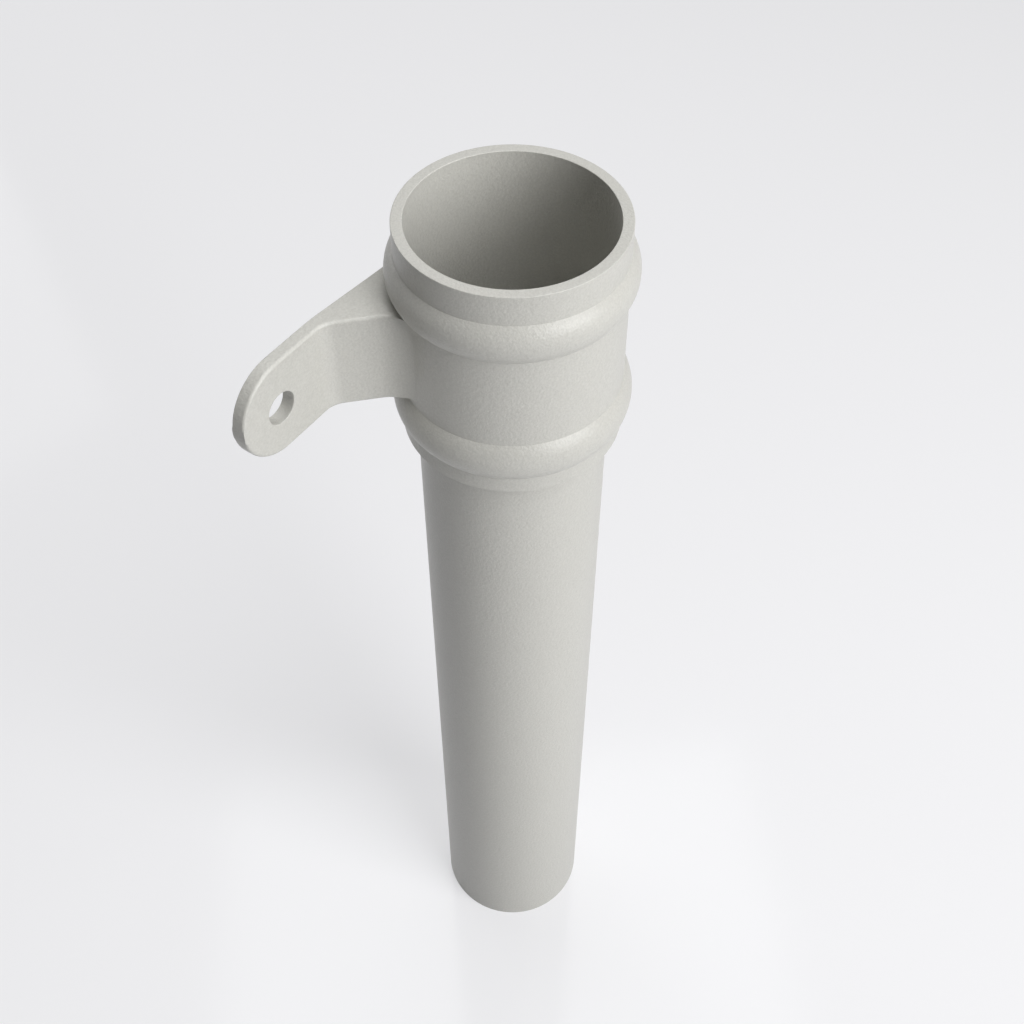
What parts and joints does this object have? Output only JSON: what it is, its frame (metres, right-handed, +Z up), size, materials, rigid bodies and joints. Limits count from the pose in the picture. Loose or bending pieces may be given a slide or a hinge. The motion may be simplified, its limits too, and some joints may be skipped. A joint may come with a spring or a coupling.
{
  "type": "cast metal downpipe length with socket and fixing ear",
  "caption": "Round cast downpipe length: beaded socket at the top, plain spigot end below, and a bent fixing ear with a screw hole on the left.",
  "frame": {"origin": "on the pipe's axis at the cut face of its spigot end", "axes": "+Z up the pipe towards the socket's rim, +Y towards the wall that the ear is screwed to, so the ear points to -X"},
  "size_m": [0.1491, 0.0932, 0.4847],
  "materials": {
    "powder_coat": "satin"
  },
  "bodies": {
    "root": {"downpipe": "powder_coat"}
  },
  "joints": []
}
